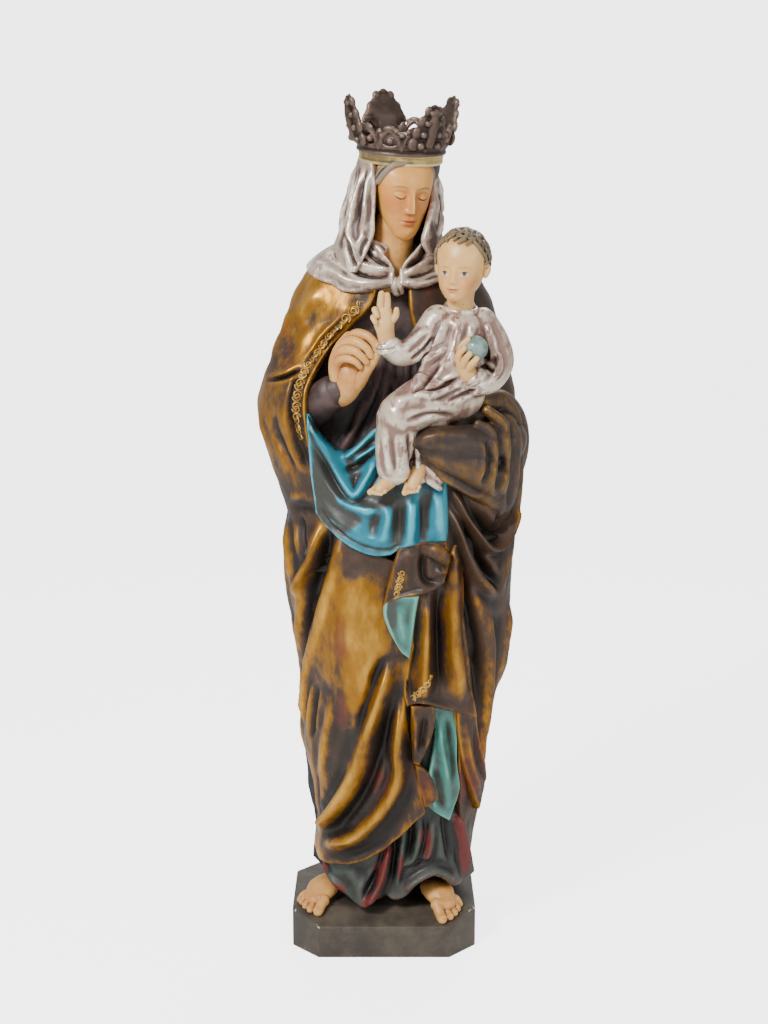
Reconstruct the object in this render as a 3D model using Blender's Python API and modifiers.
"""A crowned virgin holding the child, a painted and gilded church figure on its plinth."""

import math

import bmesh
import bpy
import numpy as np
from mathutils import Euler, Matrix, Vector

# The plinth, in metres
PLINTH_WIDTH = 0.262
PLINTH_DEPTH = 0.206
PLINTH_HEIGHT = 0.060
PLINTH_CORNER_WIDTH = 0.038
PLINTH_CORNER_DEPTH = 0.040
PLINTH_FRONT_DROP = 0.014
PLINTH_EDGE_ROUND = 0.0025

# The figure, whose pose and carving are shares of its own height
FIGURE_HEIGHT = 1.075
FIGURE_UNITS = 1075.0
SOLE_UNITS = 60.0
FIT_CLEARANCE = 0.0003
VOXEL_SHARE = 0.0036
FIGURE_TRIANGLES = 7600

# The crown, in metres, and its place on the head, in the figure's units
CROWN_BAND_RADIUS = 0.0570
CROWN_WALL = 0.0050
CROWN_RIM_HEIGHT = 0.034
CROWN_HEIGHT = 0.073
CROWN_FLARE = 0.021
CROWN_LEAF_WIDTH = 0.052
CROWN_ARCS = 6
CROWN_LEAF_TURNS = (18, 110, 184)
CROWN_LOW_LEAF_TURN = 302
CROWN_LOW_LEAF_HEIGHT = 0.060
CROWN_LOST_LEAF_TURN = 245
CROWN_LOOSENESS = 0.0012
CROWN_TRIANGLES = 1600
CROWN_SEAT = (23.0, -22.0, 1119.0)
CROWN_BOW = 9.0
CROWN_ROLL = 3.0
FILLET_HEIGHT_UNITS = 15.0

UNIT = FIGURE_HEIGHT / FIGURE_UNITS

for old in list(bpy.data.objects):
    bpy.data.objects.remove(old, do_unlink=True)

statue = bpy.data.collections.new("virgin_and_child_statue")
cutters = bpy.data.collections.new("cutters")
bpy.context.scene.collection.children.link(statue)
bpy.context.scene.collection.children.link(cutters)


def paint(name, colour, roughness, metallic):
    """A finish of one colour for one sub-part."""
    finish = bpy.data.materials.new(name)
    finish.use_nodes = True
    shader = finish.node_tree.nodes["Principled BSDF"]
    shader.inputs["Base Color"].default_value = (*colour, 1.0)
    shader.inputs["Roughness"].default_value = roughness
    shader.inputs["Metallic"].default_value = metallic
    return finish


def new_object(name, mesh, collection):
    item = bpy.data.objects.new(name, mesh)
    collection.objects.link(item)
    return item


def smooth_line(points, count):
    """Points along a Catmull-Rom curve through the given ones."""
    points = np.asarray(points, dtype=float)
    if len(points) == 2:
        share = np.linspace(0.0, 1.0, count)[:, None]
        return points[0] * (1.0 - share) + points[1] * share
    padded = np.vstack([2 * points[0] - points[1], points, 2 * points[-1] - points[-2]])
    place = np.linspace(0.0, len(points) - 1.000001, count)
    index = place.astype(int)
    t = (place - index)[:, None]
    a, b, c, d = (padded[index + k] for k in range(4))
    return 0.5 * (2 * b + (c - a) * t + (2 * a - 5 * b + 4 * c - d) * t ** 2
                  + (3 * b - a - 3 * c + d) * t ** 3)


class Core:
    """An upright form that has a left, right, front and back reach at each height."""

    def __init__(self, rows, power=2.4):
        table = smooth_line(rows, 8 * len(rows))
        self.table = table[np.argsort(table[:, 0])]
        self.power = power

    def reach(self, z):
        return [np.interp(z, self.table[:, 0], self.table[:, k]) for k in (1, 2, 3, 4)]

    def angle(self, x, z):
        """The angle from the front at which the form is x wide of the middle."""
        left, right, _, _ = self.reach(z)
        share = np.clip((x - (left + right) / 2) / ((right - left) / 2), -0.998, 0.998)
        return np.arcsin(np.sign(share) * np.abs(share) ** (self.power / 2))

    def point(self, angle, z):
        left, right, front, back = self.reach(z)
        bend = 2.0 / self.power
        side = np.sin(angle)
        ahead = np.cos(angle)
        x = (left + right) / 2 + (right - left) / 2 * np.sign(side) * np.abs(side) ** bend
        depth = np.where(ahead > 0, -front, back) * np.abs(ahead) ** bend
        return np.stack([x, depth, z], axis=-1)

    def line(self, path, count):
        """A smooth line on the form: (x, z) in front, (x, z, turns) past the sides."""
        spots = []
        for spot in path:
            x, z = spot[:2]
            turn = self.angle(np.float64(x), np.float64(z))
            if len(spot) == 3 and spot[2] == "back":
                turn = -math.pi - turn
            if len(spot) == 3 and spot[2] == "round":
                turn = turn - 2 * math.pi
            spots.append((turn, z))
        return smooth_line(spots, count)


def fold_height(spots, core, folds):
    """The height that a list of folds gives to each spot on a form."""
    total = np.zeros(spots.shape[:-1])
    flat = spots.reshape(-1, 3)
    for path, width, height in folds:
        route = core.line(path, 14)
        track = core.point(route[:, 0], route[:, 1])
        best = np.full(len(flat), 1e9)
        along = np.zeros(len(flat))
        for step in range(len(track) - 1):
            start, run = track[step], track[step + 1] - track[step]
            share = np.clip(((flat - start) @ run) / (run @ run + 1e-9), 0, 1)
            gap = np.linalg.norm(flat - start - share[:, None] * run, axis=1)
            nearer = gap < best
            best = np.where(nearer, gap, best)
            along = np.where(nearer, (step + share) / (len(track) - 1), along)
        ends = np.clip(along / 0.2, 0.05, 1) * np.clip((1 - along) / 0.2, 0.05, 1)
        crest = np.exp(-(best / width) ** 2) - 0.3 * np.exp(-((best - 1.7 * width) / width) ** 2)
        total += (height * np.sqrt(ends) * crest).reshape(total.shape)
    return total


def grid_faces(rows, columns, start=0, closed=False):
    faces = []
    for i in range(rows - 1):
        for j in range(columns if closed else columns - 1):
            k = (j + 1) % columns
            faces.append((start + i * columns + j, start + i * columns + k,
                          start + (i + 1) * columns + k, start + (i + 1) * columns + j))
    return faces


def shell_mesh(outer, inner):
    """A closed slab between an outer and an inner grid of the same size."""
    rows, columns = outer.shape[:2]
    count = rows * columns
    faces = grid_faces(rows, columns)
    faces += [tuple(count + v for v in reversed(f)) for f in grid_faces(rows, columns)]
    rim = [j for j in range(columns)]
    rim += [i * columns + columns - 1 for i in range(1, rows)]
    rim += [(rows - 1) * columns + j for j in range(columns - 2, -1, -1)]
    rim += [i * columns for i in range(rows - 2, 0, -1)]
    for a, b in zip(rim, rim[1:] + rim[:1]):
        faces.append((b, a, count + a, count + b))
    mesh = bpy.data.meshes.new("slab")
    spots = np.vstack([outer.reshape(-1, 3), inner.reshape(-1, 3)])
    mesh.from_pydata(spots.tolist(), [], faces)
    return mesh


def surface_normals(grid):
    across = np.gradient(grid, axis=1)
    down = np.gradient(grid, axis=0)
    normal = np.cross(across, down)
    return normal / (np.linalg.norm(normal, axis=-1, keepdims=True) + 1e-9)


def cloth(core, top, bottom, left, right, lift, thickness, folds=(), rows=40, columns=40):
    """A slab of cloth on a form, between four border lines."""
    up, low = core.line(top, columns), core.line(bottom, columns)
    start, end = core.line(left, rows), core.line(right, rows)
    s = np.linspace(0, 1, columns)[None, :, None]
    t = np.linspace(0, 1, rows)[:, None, None]
    spread = ((1 - t) * up[None] + t * low[None] + (1 - s) * start[:, None] + s * end[:, None]
              - (1 - s) * (1 - t) * up[0] - s * (1 - t) * up[-1]
              - (1 - s) * t * low[0] - s * t * low[-1])
    base = core.point(spread[..., 0], spread[..., 1])
    normal = surface_normals(base)
    edge_left, edge_right, _, _ = core.reach(spread[..., 1])
    outwards = base - np.stack([(edge_left + edge_right) / 2, base[..., 1] * 0, base[..., 2]], axis=-1)
    if np.mean(np.sum(normal * outwards, axis=-1)) < 0:
        normal = -normal
    height = lift + fold_height(base, core, folds)
    outer = base + normal * height[..., None]
    inner = base + normal * (np.minimum(height, lift) - thickness)[..., None]
    return shell_mesh(outer, inner)


def trunk(core, low, high, rows, columns, folds=()):
    """A closed upright form from one height to another."""
    z = np.linspace(low, high, rows)[:, None] * np.ones((1, columns))
    turn = np.linspace(0, 2 * math.pi, columns, endpoint=False)[None, :] * np.ones((rows, 1))
    base = core.point(turn, z)
    out = base - np.array([base[..., 0].mean(), 0, 0])
    out[..., 2] = 0
    out = out / (np.linalg.norm(out, axis=-1, keepdims=True) + 1e-9)
    spots = base + out * fold_height(base, core, folds)[..., None]
    faces = grid_faces(rows, columns, closed=True)
    faces.append(tuple(range(columns - 1, -1, -1)))
    faces.append(tuple((rows - 1) * columns + j for j in range(columns)))
    mesh = bpy.data.meshes.new("trunk")
    mesh.from_pydata(spots.reshape(-1, 3).tolist(), [], faces)
    return mesh


def limb(points, sides=14, flat=1.0, steps=0):
    """A round-ended tube through (x, y, z, radius) points, flatter front to back if asked."""
    line = smooth_line(points, steps or 6 * len(points))
    spine, radii = line[:, :3], line[:, 3]
    rings = []
    for share in (0.0, 0.5, 0.85):
        rings.append((spine[0] - (spine[1] - spine[0]) / np.linalg.norm(spine[1] - spine[0])
                      * radii[0] * math.cos(math.asin(share)), radii[0] * share))
    rings += list(zip(spine, radii))
    for share in (0.85, 0.5, 0.0):
        rings.append((spine[-1] + (spine[-1] - spine[-2]) / np.linalg.norm(spine[-1] - spine[-2])
                      * radii[-1] * math.cos(math.asin(share)), radii[-1] * share))
    centres = np.array([ring[0] for ring in rings])
    ahead = np.gradient(centres, axis=0)
    ahead /= np.linalg.norm(ahead, axis=1, keepdims=True)
    side = np.cross(ahead[0], (0.31, 0.87, 0.38))
    spots = []
    for (centre, radius), way in zip(rings, ahead):
        side = side - way * (side @ way)
        side = side / np.linalg.norm(side)
        other = np.cross(way, side)
        for k in range(sides):
            turn = 2 * math.pi * k / sides
            offset = max(radius, 0.01) * (math.cos(turn) * side + math.sin(turn) * other)
            offset[1] *= flat
            spots.append(centre + offset)
    faces = grid_faces(len(rings), sides, closed=True)
    faces.append(tuple(range(sides - 1, -1, -1)))
    faces.append(tuple((len(rings) - 1) * sides + j for j in range(sides)))
    mesh = bpy.data.meshes.new("limb")
    mesh.from_pydata(np.array(spots).tolist(), [], faces)
    return mesh


def ball(centre, radii, turn=(0, 0, 0)):
    """An egg of three half-sizes, turned by degrees."""
    mesh = bpy.data.meshes.new("ball")
    work = bmesh.new()
    spin = Euler([math.radians(v) for v in turn]).to_matrix().to_4x4()
    matrix = Matrix.Translation(centre) @ spin @ Matrix.Diagonal((*radii, 1))
    bmesh.ops.create_uvsphere(work, u_segments=20, v_segments=14, radius=1, matrix=matrix)
    work.to_mesh(mesh)
    work.free()
    return mesh


# The body under its clothes: height, then left, right, front and back reach, all in units
BODY = Core([
    (60, -99, 119, 80, 82), (110, -102, 123, 82, 84), (173, -95, 127, 86, 86),
    (229, -100, 132, 90, 88), (296, -113, 145, 94, 90), (382, -112, 160, 100, 92),
    (464, -124, 173, 104, 94), (531, -134, 178, 104, 96), (589, -136, 181, 102, 98),
    (632, -134, 182, 98, 100), (700, -150, 184, 92, 100), (752, -162, 186, 86, 98),
    (799, -160, 182, 80, 94), (840, -148, 170, 76, 90), (879, -136, 158, 72, 86),
    (919, -125, 145, 66, 80), (946, -113, 131, 58, 74), (968, -96, 116, 48, 66),
    (985, -70, 92, 38, 54), (1004, -36, 58, 26, 36)])

# The undergown, which draws back over the feet
ROBE = Core([
    (60, -96, 116, 64, 78), (84, -98, 118, 62, 80), (110, -97, 118, 66, 80), (173, -90, 122, 80, 82),
    (229, -95, 127, 86, 84), (382, -108, 150, 92, 88), (531, -126, 170, 94, 90),
    (632, -126, 174, 90, 94), (752, -140, 172, 78, 92), (840, -132, 158, 70, 84),
    (919, -116, 136, 62, 74), (968, -86, 106, 46, 60), (985, -64, 86, 36, 50),
    (1004, -34, 56, 26, 34)])

# The veiled head: the same reaches, bowed a little forward and to the viewer's right
HEAD_MIDDLE = (27, -34, 1058)
VEIL = Core([
    (975, -66, 86, 62, 62), (1000, -60, 78, 72, 66), (1025, -52, 76, 78, 72),
    (1050, -46, 76, 80, 76), (1080, -40, 75, 80, 78), (1105, -34, 73, 78, 74),
    (1125, -24, 64, 66, 62), (1140, -4, 48, 40, 36)])

ROBE_FOLDS = [
    ([(0, 62), (2, 150), (10, 260)], 7, 9), ([(58, 62), (62, 150), (66, 230)], 7, 9),
    ([(104, 62), (104, 150), (100, 230)], 7, 9), ([(-60, 62), (-50, 110), (-30, 160)], 8, 7),
    ([(30, 62), (28, 140), (40, 220)], 6, -7), ([(82, 62), (84, 150), (84, 220)], 6, -7),
    ([(-40, 820), (-30, 720), (-10, 640)], 5, 6), ([(-10, 860), (-8, 760), (0, 660)], 5, 6),
    ([(16, 880), (18, 780), (14, 690)], 5, 6), ([(-62, 780), (-52, 700), (-40, 650)], 5, 6)]

MANTLE_FOLDS = [
    # The big swept folds over the shins
    ([(16, 560), (6, 430), (-20, 300), (-70, 190), (-97, 155)], 10, 15),
    ([(26, 470), (16, 350), (-14, 240), (-60, 165)], 9, 12),
    ([(40, 330), (22, 240), (-10, 185), (-48, 148)], 8, 11),
    ([(-30, 560), (-34, 470), (-48, 380), (-70, 300)], 30, 12),
    ([(-96, 590), (-100, 500), (-104, 400), (-100, 310)], 9, -10),
    ([(-120, 620), (-124, 520), (-116, 420), (-104, 330)], 7, 8),
    ([(-104, 300), (-100, 240), (-92, 170)], 7, 8), ([(-80, 250), (-84, 200), (-90, 150)], 7, -8),
    # The sleeve side: long folds that fall from the shoulder over the arm
    ([(-60, 905), (-110, 860), (-150, 800), (-165, 740)], 9, 8),
    ([(-90, 940), (-125, 880), (-150, 830)], 9, 6), ([(-158, 800), (-130, 806), (-112, 815)], 6, -12),
    ([(-112, 740), (-104, 690), (-88, 640)], 9, 9), ([(-135, 780), (-134, 700), (-112, 630)], 9, 10),
    ([(-158, 770), (-152, 690), (-130, 620)], 8, 9),
    # The side under the child: folds that run down to the hem
    ([(150, 600, "round"), (146, 480, "round"), (128, 330, "round")], 8, 10),
    ([(168, 620, "round"), (164, 480, "round"), (146, 330, "round")], 8, 9),
    ([(130, 560, "round"), (128, 430, "round"), (122, 300, "round")], 7, -10),
    # The back, plainer: a few long falls
    ([(-100, 900, "back"), (-90, 600, "back"), (-70, 120, "back")], 13, 9),
    ([(-40, 940, "back"), (-30, 600, "back"), (-24, 100, "back")], 13, 9),
    ([(40, 940, "back"), (34, 600, "back"), (30, 100, "back")], 13, 9),
    ([(100, 900, "back"), (90, 600, "back"), (84, 120, "back")], 13, 9)]

SWAG_FOLDS = [
    ([(-92, 760), (-66, 700), (-36, 676), (0, 668)], 6, 11),
    ([(-90, 720), (-66, 668), (-30, 640), (20, 640), (60, 660)], 8, 9),
    ([(-52, 716), (-30, 740), (-6, 758)], 5, 9), ([(-40, 690), (-20, 706), (0, 722)], 5, 8),
    ([(10, 660), (14, 630), (10, 590)], 5, 8), ([(34, 665), (38, 630), (34, 600)], 5, 8),
    ([(58, 680), (62, 640), (60, 604)], 5, 8), ([(-70, 690), (-44, 655), (0, 625)], 5, -6)]

CASCADE = [
    # name, top, bottom, left, right, lift, folds
    ("teal_upper", [(1, 515), (42, 530)], [(30, 444), (36, 448)], [(1, 515), (20, 470), (30, 444)],
     [(42, 530), (38, 485), (36, 448)], 12, [([(20, 515), (28, 480), (33, 450)], 6, 6)]),
    ("flap", [(27, 598), (84, 600)], [(1, 518), (74, 539)], [(27, 598), (14, 560), (1, 518)],
     [(84, 600), (80, 570), (74, 539)], 24, [([(60, 600), (50, 565), (40, 532)], 7, 7)]),
    ("fall", [(40, 545), (98, 590)], [(31, 374), (70, 372), (121, 358)],
     [(40, 545), (34, 440), (31, 374)], [(98, 590), (113, 425), (121, 358)], 20,
     [([(56, 550), (56, 460), (52, 372)], 7, 10), ([(92, 580), (92, 470), (98, 364)], 7, 10),
      ([(74, 560), (74, 460), (76, 366)], 7, -6)]),
    ("teal_lower", [(34, 378), (98, 378)], [(80, 206), (98, 206)], [(34, 378), (48, 320), (80, 206)],
     [(98, 378), (96, 300), (98, 206)], 13, [([(82, 370), (84, 300), (88, 210)], 7, 8)]),
    ("fold_end", [(40, 350), (66, 350)], [(50, 228), (62, 236)], [(40, 350), (44, 296), (50, 228)],
     [(66, 350), (62, 300), (62, 236)], 17, [([(54, 345), (55, 300), (56, 240)], 5, 7)]),
    ("side_flap", [(96, 372), (124, 366)], [(98, 204), (118, 236)], [(96, 372), (98, 300), (98, 204)],
     [(124, 366), (124, 300), (118, 236)], 17, [([(110, 366), (112, 300), (108, 230)], 6, 7)])]

SHAWL_FOLDS = [
    ([(-84, 972), (-50, 950), (-10, 946), (16, 950)], 6, 7), ([(-60, 985), (-30, 968), (0, 962)], 5, 6),
    ([(80, 962), (50, 950), (20, 950)], 6, 7), ([(-96, 930), (-60, 926), (0, 930)], 5, -4)]


def figure_shapes():
    """Every form of the carved group, in the figure's units."""
    shapes = [trunk(ROBE, 40, 1000, 90, 72, ROBE_FOLDS)]
    shapes.append(cloth(
        BODY, [(4, 975), (-60, 985), (0, 990, "back"), (60, 985, "back"), (120, 930, "round"),
               (150, 860, "round")],
        [(56, 214), (21, 176), (-30, 138), (-92, 140), (-100, 90, "back"), (0, 72, "back"),
         (100, 84, "back"), (112, 90, "round"), (112, 200, "round")],
        [(4, 975), (-14, 927), (-68, 873), (-108, 831), (-117, 782), (-98, 710), (-70, 645),
         (-20, 590), (26, 570), (46, 500), (40, 400), (48, 300), (56, 214)],
        [(150, 860, "round"), (150, 760, "round"), (140, 600, "round"), (128, 420, "round"),
         (118, 300, "round"), (112, 200, "round")], 15, 22, MANTLE_FOLDS, 120, 120))
    shapes.append(cloth(
        BODY, [(-98, 778), (-72, 738), (-50, 722), (-24, 742), (4, 768)],
        [(-83, 648), (-50, 604), (-19, 589), (28, 597), (81, 604)],
        [(-98, 778), (-98, 746), (-94, 708), (-83, 648)], [(4, 768), (60, 730), (79, 672), (81, 604)],
        30, 34, SWAG_FOLDS, 44, 44))
    for _, top, bottom, left, right, lift, folds in CASCADE:
        shapes.append(cloth(BODY, top, bottom, left, right, lift, 20, folds, 30, 18))
    # The front edge of the mantle, a rolled border over the arm
    shapes.append(limb([(2, -70, 935, 9), (-44, -82, 897, 10), (-84, -88, 855, 10),
                        (-112, -84, 822, 11), (-116, -84, 776, 12), (-106, -88, 730, 11),
                        (-86, -96, 670, 10)], flat=1.2))
    # The raised right forearm in its sleeve, and the hand
    shapes.append(limb([(-146, -20, 740, 34), (-120, -62, 760, 32), (-84, -92, 790, 24),
                        (-66, -104, 800, 19)]))
    shapes.append(limb([(-70, -106, 798, 14), (-52, -118, 822, 15), (-40, -122, 850, 17)]))
    for lean in range(4):
        shapes.append(limb([(-52 + 6 * lean, -126, 858 - 5 * lean, 8),
                            (-34 + 7 * lean, -142, 874 - 8 * lean, 6.5),
                            (-14 + 4 * lean, -146, 868 - 9 * lean, 5.5)]))
    # The left arm under the mantle, which carries the child, and its hanging loops
    shapes.append(limb([(160, -10, 720, 44), (128, -70, 706, 44), (84, -104, 718, 40),
                        (50, -112, 738, 26)]))
    shapes.append(limb([(170, -34, 770, 14), (176, -40, 690, 16), (160, -66, 610, 14),
                        (128, -84, 596, 12), (100, -92, 650, 14)]))
    shapes.append(limb([(178, -20, 760, 14), (180, -30, 660, 15), (166, -50, 560, 13),
                        (150, -66, 516, 10)]))
    # Neck, head and hair
    shapes.append(limb([(14, -24, 970, 30), (20, -34, 1010, 27), (25, -38, 1040, 30)]))
    shapes.append(ball(HEAD_MIDDLE, (40, 52, 58), (16, 0, 6)))
    shapes.append(ball((28, -86, 1048), (5, 9, 12), (20, 0, 6)))
    # The veil down both sides of the face, and the shawl over the shoulders
    shapes.append(cloth(
        VEIL, [(-12, 1120), (-30, 1125, "back"), (40, 1125, "back"), (62, 1118, "round")],
        [(-30, 980), (-50, 985, "back"), (60, 985, "back"), (50, 985, "round")],
        [(-12, 1120), (-22, 1060), (-30, 980)], [(62, 1118, "round"), (66, 1050, "round"),
                                                (50, 985, "round")], 4, 12, [], 40, 50))
    shapes.append(cloth(
        BODY, [(-24, 1000), (-20, 1002, "back"), (40, 1002, "back"), (44, 1000, "round")],
        [(8, 940), (-35, 930), (-73, 942), (-99, 972), (-60, 950, "back"), (70, 950, "back"),
         (112, 950, "round"), (69, 940, "round"), (24, 938, "round")],
        [(-24, 1000), (-10, 975), (8, 940)], [(44, 1000, "round"), (34, 975, "round"),
                                              (24, 938, "round")], 22, 22, SHAWL_FOLDS, 30, 70))
    shapes.append(trunk(Core([(985, -52, 74, 58, 50), (1000, -44, 66, 54, 52), (1015, -38, 60, 48, 52),
                              (1120, -34, 66, 40, 66), (1136, -6, 50, 20, 30)]), 985, 1134, 20, 30))
    shapes.append(fillet_shape())
    shapes += foot_shapes((-66, -46, 84), (-92, -80, 70), 1)
    shapes += foot_shapes((58, -50, 84), (80, -86, 68), -1)
    shapes += child_shapes()
    return shapes


def foot_shapes(ankle, toes, inner_side):
    """A bare foot whose toes fan out from the big toe on its inner side."""
    ankle, toes = np.array(ankle, float), np.array(toes, float)
    ahead = (toes - ankle) / np.linalg.norm(toes - ankle)
    across = inner_side * np.array([-ahead[1], ahead[0], 0])
    middle = (ankle + toes) / 2 + np.array([0, 0, 4])
    shapes = [limb([(*ankle, 20), (*middle, 17), (*(toes - 5 * ahead), 12)])]
    for k, (offset, reach, radius) in enumerate(
            ((15, 15, 7.5), (5.5, 15, 5.8), (-2.5, 12, 5.5), (-10, 8, 5.2), (-17, 2, 5))):
        root = toes + across * offset - ahead * 6
        tip = toes + across * offset * 1.12 + ahead * reach
        shapes.append(limb([(root[0], root[1], 72 - k, radius + 1.5),
                            (tip[0], tip[1], 59 + radius * 0.7, radius)], 8))
    return shapes


def child_shapes():
    """The seated child: head, blessing arm, orb, gown and feet."""
    shapes = [ball((101, -112, 969), (36, 40, 45), (0, 0, -6)), ball((103, -104, 978), (39, 42, 41))]
    shapes.append(ball((88, -151, 962), (4, 6, 7)))
    shapes.append(limb([(100, -108, 935, 19), (99, -106, 905, 22)]))
    shapes.append(limb([(98, -108, 905, 40), (92, -112, 860, 42), (84, -114, 815, 44)], flat=0.85))
    # The raised arm and hand
    shapes.append(limb([(66, -112, 898, 22), (40, -124, 868, 21), (22, -134, 856, 22)]))
    shapes.append(limb([(22, -134, 856, 21), (8, -140, 868, 19), (0, -144, 884, 17)]))
    shapes.append(limb([(2, -144, 884, 9), (0, -148, 902, 10), (0, -150, 914, 9)]))
    shapes.append(limb([(4, -150, 918, 4.5), (6, -152, 930, 4), (6, -152, 941, 3.5)], 8))
    shapes.append(limb([(-2, -151, 918, 4.5), (-2, -153, 930, 4), (0, -153, 940, 3.5)], 8))
    # The arm and hand that hold the orb
    shapes.append(limb([(132, -104, 898, 24), (150, -108, 858, 24), (140, -124, 826, 22),
                        (120, -138, 820, 16)]))
    shapes.append(limb([(116, -140, 826, 10), (106, -146, 838, 11), (100, -146, 850, 8)]))
    shapes.append(ball((118, -146, 866), (16.5, 16.5, 16.5)))
    # The lap, the shin and the hem of the gown
    shapes.append(limb([(86, -112, 800, 42), (46, -136, 800, 36), (22, -146, 784, 32)]))
    shapes.append(limb([(22, -146, 780, 30), (16, -142, 740, 28), (14, -138, 700, 24)], flat=0.9))
    shapes.append(limb([(96, -108, 780, 44), (66, -112, 740, 30), (58, -116, 700, 16)]))
    # The two feet
    shapes.append(limb([(14, -134, 700, 11), (2, -146, 688, 10), (-16, -156, 681, 8)], flat=1.0))
    shapes.append(limb([(44, -132, 704, 10), (40, -142, 688, 9), (34, -150, 676, 7)]))
    return shapes


def crown_place(scale):
    """Where the crown sits, turned as the bowed head is."""
    spin = Euler((math.radians(CROWN_BOW), math.radians(CROWN_ROLL), 0)).to_matrix().to_4x4()
    return Matrix.Translation(Vector(CROWN_SEAT) * scale) @ spin


def fillet_shape():
    """The gilt band round the veil, whose top carries the crown."""
    radius = CROWN_BAND_RADIUS / UNIT
    work = bmesh.new()
    matrix = crown_place(1) @ Matrix.Translation((0, 0, -FILLET_HEIGHT_UNITS / 2))
    bmesh.ops.create_cone(work, cap_ends=True, segments=40, radius1=radius - 3, radius2=radius,
                          depth=FILLET_HEIGHT_UNITS, matrix=matrix)
    mesh = bpy.data.meshes.new("fillet")
    work.to_mesh(mesh)
    work.free()
    return mesh


def join_meshes(meshes, scale, lift):
    """One mesh out of many closed ones, at its real size and height."""
    work = bmesh.new()
    for mesh in meshes:
        piece = bmesh.new()
        piece.from_mesh(mesh)
        bmesh.ops.recalc_face_normals(piece, faces=piece.faces)
        piece.to_mesh(mesh)
        piece.free()
        work.from_mesh(mesh)
        bpy.data.meshes.remove(mesh)
    bmesh.ops.transform(work, matrix=Matrix.Translation((0, 0, lift)) @ Matrix.Scale(scale, 4),
                        verts=work.verts)
    whole = bpy.data.meshes.new("group")
    work.to_mesh(whole)
    work.free()
    return whole


def evaluated_mesh(item):
    return bpy.data.meshes.new_from_object(item.evaluated_get(bpy.context.evaluated_depsgraph_get()))


def fuse(item, voxel, triangles):
    """Makes one skin of an object's overlapping forms, with few faces."""
    remesh = item.modifiers.new("one_skin", "REMESH")
    remesh.mode = "VOXEL"
    remesh.voxel_size = voxel
    item.data = evaluated_mesh(item)
    item.modifiers.clear()
    keep_outer_skin(item.data)
    thin = item.modifiers.new("fewer_faces", "DECIMATE")
    thin.ratio = min(1.0, triangles / (2 * len(item.data.polygons)))
    item.data = evaluated_mesh(item)
    item.modifiers.clear()


def keep_outer_skin(mesh):
    """Deletes loose islands and closed bubbles, and keeps the largest skin."""
    work = bmesh.new()
    work.from_mesh(mesh)
    left = set(work.verts)
    islands = []
    while left:
        island = {left.pop()}
        front = list(island)
        while front:
            for edge in front.pop().link_edges:
                for vert in edge.verts:
                    if vert in left:
                        left.remove(vert)
                        island.add(vert)
                        front.append(vert)
        islands.append(island)
    islands.sort(key=len)
    bmesh.ops.delete(work, geom=[v for island in islands[:-1] for v in island], context="VERTS")
    work.to_mesh(mesh)
    work.free()


figure_lift = PLINTH_HEIGHT - SOLE_UNITS * UNIT
group = new_object("virgin_and_child", join_meshes(figure_shapes(), UNIT, figure_lift), statue)
fuse(group, VOXEL_SHARE * FIGURE_HEIGHT, FIGURE_TRIANGLES)
group.data.materials.append(paint("old_gilding", (0.36, 0.22, 0.08), 0.42, 0.75))


PLINTH_SLOPE = PLINTH_FRONT_DROP / PLINTH_CORNER_DEPTH
SLOPE_START = PLINTH_CORNER_DEPTH - PLINTH_DEPTH / 2


def plinth_top(y):
    """The height of the plinth's top, which slopes down in front of the side corners."""
    return PLINTH_HEIGHT - PLINTH_SLOPE * max(0.0, SLOPE_START - y)


def prism_mesh(name, low, top, top_faces):
    """A closed block between two rings of corners."""
    work = bmesh.new()
    low = [work.verts.new(spot) for spot in low]
    top = [work.verts.new(spot) for spot in top]
    work.faces.new(reversed(low))
    for ring in top_faces:
        work.faces.new([top[k] for k in ring])
    for k in range(len(low)):
        n = (k + 1) % len(low)
        work.faces.new((low[k], low[n], top[n], top[k]))
    bmesh.ops.recalc_face_normals(work, faces=work.faces)
    mesh = bpy.data.meshes.new(name)
    work.to_mesh(mesh)
    work.free()
    return mesh


half_width, half_depth = PLINTH_WIDTH / 2, PLINTH_DEPTH / 2
inner_x, inner_y = half_width - PLINTH_CORNER_WIDTH, half_depth - PLINTH_CORNER_DEPTH
outline = [(-inner_x, -half_depth), (inner_x, -half_depth), (half_width, -inner_y),
           (half_width, inner_y), (inner_x, half_depth), (-inner_x, half_depth),
           (-half_width, inner_y), (-half_width, -inner_y)]
plinth = new_object("plinth", prism_mesh(
    "plinth", [(x, y, 0) for x, y in outline], [(x, y, plinth_top(y)) for x, y in outline],
    [range(2, 8), (0, 1, 2, 7)]), statue)
edges = plinth.modifiers.new("worn_edges", "BEVEL")
edges.width = PLINTH_EDGE_ROUND
edges.segments = 1
edges.limit_method = "ANGLE"
plinth.data.materials.append(paint("brown_plinth", (0.07, 0.052, 0.037), 0.5, 0.0))

# Everything below the plinth's top, with the fit's gap, is cut from the figure
far = PLINTH_WIDTH
corners = [(-far, -far), (far, -far), (far, SLOPE_START), (far, far), (-far, far),
           (-far, SLOPE_START)]
ground = new_object("plinth_cutter", prism_mesh(
    "ground", [(x, y, -far) for x, y in corners],
    [(x, y, plinth_top(y) + FIT_CLEARANCE) for x, y in corners], [(0, 1, 2, 5), (2, 3, 4, 5)]),
    cutters)
ground.hide_render = True
ground.display_type = "WIRE"
stand = group.modifiers.new("stands_on_plinth", "BOOLEAN")
stand.operation = "DIFFERENCE"
stand.object = ground


def ring_point(turn, height, inwards=0.0):
    """A spot on the crown's flared wall."""
    radius = CROWN_BAND_RADIUS - inwards + CROWN_FLARE * (max(height, 0) / CROWN_HEIGHT) ** 1.4
    return (radius * math.cos(turn), radius * math.sin(turn), height)


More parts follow.
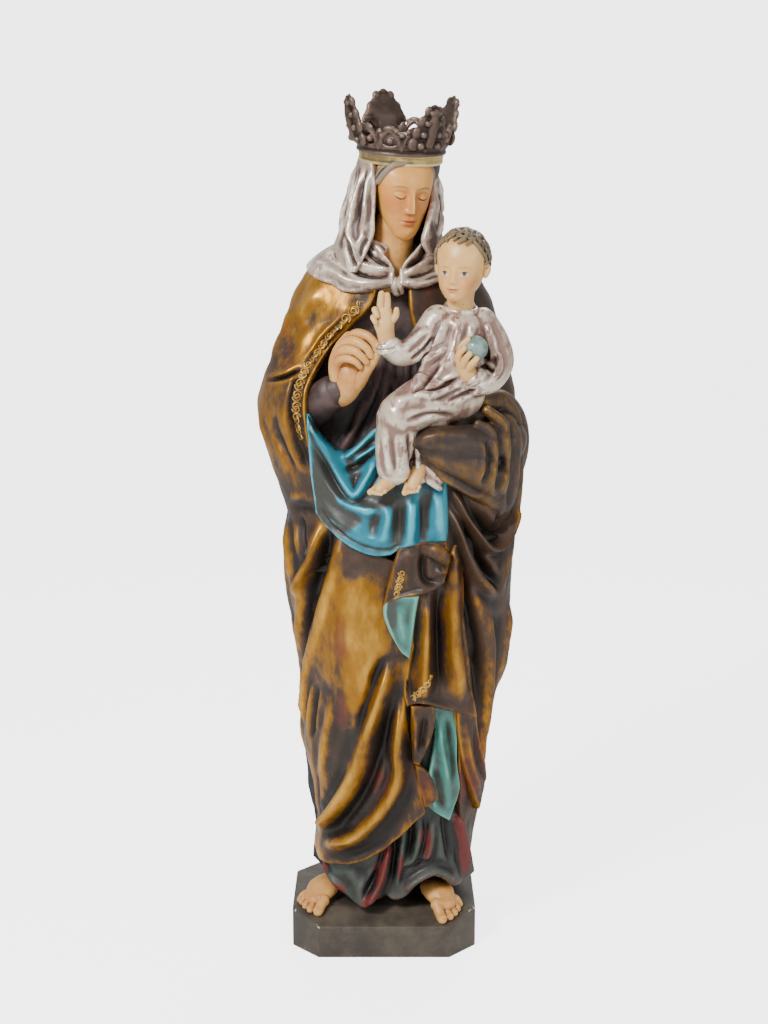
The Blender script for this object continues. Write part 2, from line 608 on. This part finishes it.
def crown_wall():
    """The pierced circlet: a band below, openings, and a rim that rises into arcs."""
    columns, steps = 24 * CROWN_ARCS, (0, 0.02, 0.12, 0.22, 0.27, 0.45, 0.62, 0.78, 0.9, 1.0)
    outer, inner = [], []
    for share in steps:
        for j in range(columns):
            turn = 2 * math.pi * j / columns
            arc = abs(math.cos(CROWN_ARCS * turn))
            height = share * CROWN_RIM_HEIGHT * (0.86 + 0.14 * arc)
            proud = 0.0018 if 0.02 <= share <= 0.22 or share > 0.85 else 0.0
            outer.append(ring_point(turn, height, -proud))
            inner.append(ring_point(turn, height, CROWN_WALL))
    count = len(outer)
    # One opening in each half arc, two rows high and five columns wide
    pierced = {(i, j) for i in (4, 5) for j in range(columns) if 4 <= j % 12 <= 8}
    faces = []
    for i in range(len(steps) - 1):
        for j in range(columns):
            k = (j + 1) % columns
            if (i, j) in pierced:
                for spot, a, b in (((i, (j - 1) % columns), (i, j), (i + 1, j)),
                                   ((i, k), (i + 1, k), (i, k)), ((i - 1, j), (i, k), (i, j)),
                                   ((i + 1, j), (i + 1, j), (i + 1, k))):
                    if spot not in pierced:
                        p, q = a[0] * columns + a[1], b[0] * columns + b[1]
                        faces.append((p, q, count + q, count + p))
                continue
            quad = (i * columns + j, i * columns + k, (i + 1) * columns + k, (i + 1) * columns + j)
            faces += [quad, tuple(count + v for v in reversed(quad))]
    top = (len(steps) - 1) * columns
    for j in range(columns):
        k = (j + 1) % columns
        faces += [(j, k, count + k, count + j), (top + j, top + k, count + top + k, count + top + j)]
    mesh = bpy.data.meshes.new("circlet")
    mesh.from_pydata(outer + inner, [], faces)
    return mesh


def crown_leaf(turn, tall):
    """A lobed leaf that leans outwards, with a row of knobs up its outer side."""
    rows, columns = 14, 9
    outer, inner = np.zeros((rows, columns, 3)), np.zeros((rows, columns, 3))
    for i in range(rows):
        share = i / (rows - 1)
        height = CROWN_RIM_HEIGHT * 0.7 + (tall - CROWN_RIM_HEIGHT * 0.7) * share
        lobes = 0.74 + 0.26 * abs(math.cos(2.6 * math.pi * share))
        half = CROWN_LEAF_WIDTH / 2 * lobes * (1.06 - share) ** 0.55
        for j in range(columns):
            side = 2 * j / (columns - 1) - 1
            spot = turn + side * half / CROWN_BAND_RADIUS
            cup = 0.004 * (1 - side * side)
            outer[i, j] = ring_point(spot, height, -cup)
            inner[i, j] = ring_point(spot, height, CROWN_WALL * 0.8 - cup)
    shapes = [shell_mesh(outer, inner)]
    for k in range(5):
        height = CROWN_RIM_HEIGHT * 0.75 + k * (tall - CROWN_RIM_HEIGHT) / 4.6
        size = 0.0058 - 0.0005 * k
        shapes.append(ball(ring_point(turn, height, -0.005), (size, size, size)))
    return shapes


def crown_shapes():
    """The circlet, its whole leaves, the low one, the stump of the lost one and the beads."""
    shapes = [crown_wall()]
    for turn in CROWN_LEAF_TURNS:
        shapes += crown_leaf(math.radians(turn), CROWN_HEIGHT)
    shapes += crown_leaf(math.radians(CROWN_LOW_LEAF_TURN), CROWN_LOW_LEAF_HEIGHT)
    stump = ring_point(math.radians(CROWN_LOST_LEAF_TURN), CROWN_RIM_HEIGHT)
    shapes.append(ball(stump, (0.006, 0.006, 0.004)))
    for k in range(CROWN_ARCS):
        for side in (0.25, 0.75):
            spot = 2 * math.pi * (k + side) / CROWN_ARCS
            shapes.append(ball(ring_point(spot, CROWN_RIM_HEIGHT * 0.52, CROWN_WALL / 2),
                               (0.0042, 0.0042, 0.0042)))
    return shapes


crown = new_object("crown", join_meshes(crown_shapes(), 1, 0), statue)
fuse(crown, CROWN_WALL * 0.3, CROWN_TRIANGLES)
crown.data.materials.append(paint("browned_gilding", (0.17, 0.11, 0.085), 0.45, 0.6))
base_cut = new_object("crown_base_cutter", prism_mesh(
    "base", [(x, y, -far) for x, y in corners], [(x, y, FIT_CLEARANCE) for x, y in corners],
    [(0, 1, 2, 5), (2, 3, 4, 5)]), cutters)

# The crown's seat is cut in the head: a ring of material above the fillet goes
seat = bpy.data.meshes.new("seat")
work = bmesh.new()
ring = []
for radius in (CROWN_BAND_RADIUS - CROWN_WALL - CROWN_LOOSENESS, CROWN_BAND_RADIUS * 1.6):
    for height in (0, CROWN_HEIGHT):
        ring.append([work.verts.new((radius * math.cos(2 * math.pi * k / 40),
                                     radius * math.sin(2 * math.pi * k / 40), height))
                     for k in range(40)])
for k in range(40):
    n = (k + 1) % 40
    for a, b in ((0, 1), (1, 3), (3, 2), (2, 0)):
        work.faces.new((ring[a][k], ring[a][n], ring[b][n], ring[b][k]))
bmesh.ops.recalc_face_normals(work, faces=work.faces)
work.to_mesh(seat)
work.free()
seat_cut = new_object("crown_seat_cutter", seat, cutters)
place = Matrix.Translation((0, 0, figure_lift)) @ crown_place(UNIT)
for item in (crown, base_cut, seat_cut):
    item.matrix_world = place
for item in (base_cut, seat_cut):
    item.hide_render = True
    item.display_type = "WIRE"
flat = crown.modifiers.new("flat_below", "BOOLEAN")
flat.operation = "DIFFERENCE"
flat.object = base_cut
notch = group.modifiers.new("crown_seat", "BOOLEAN")
notch.operation = "DIFFERENCE"
notch.object = seat_cut
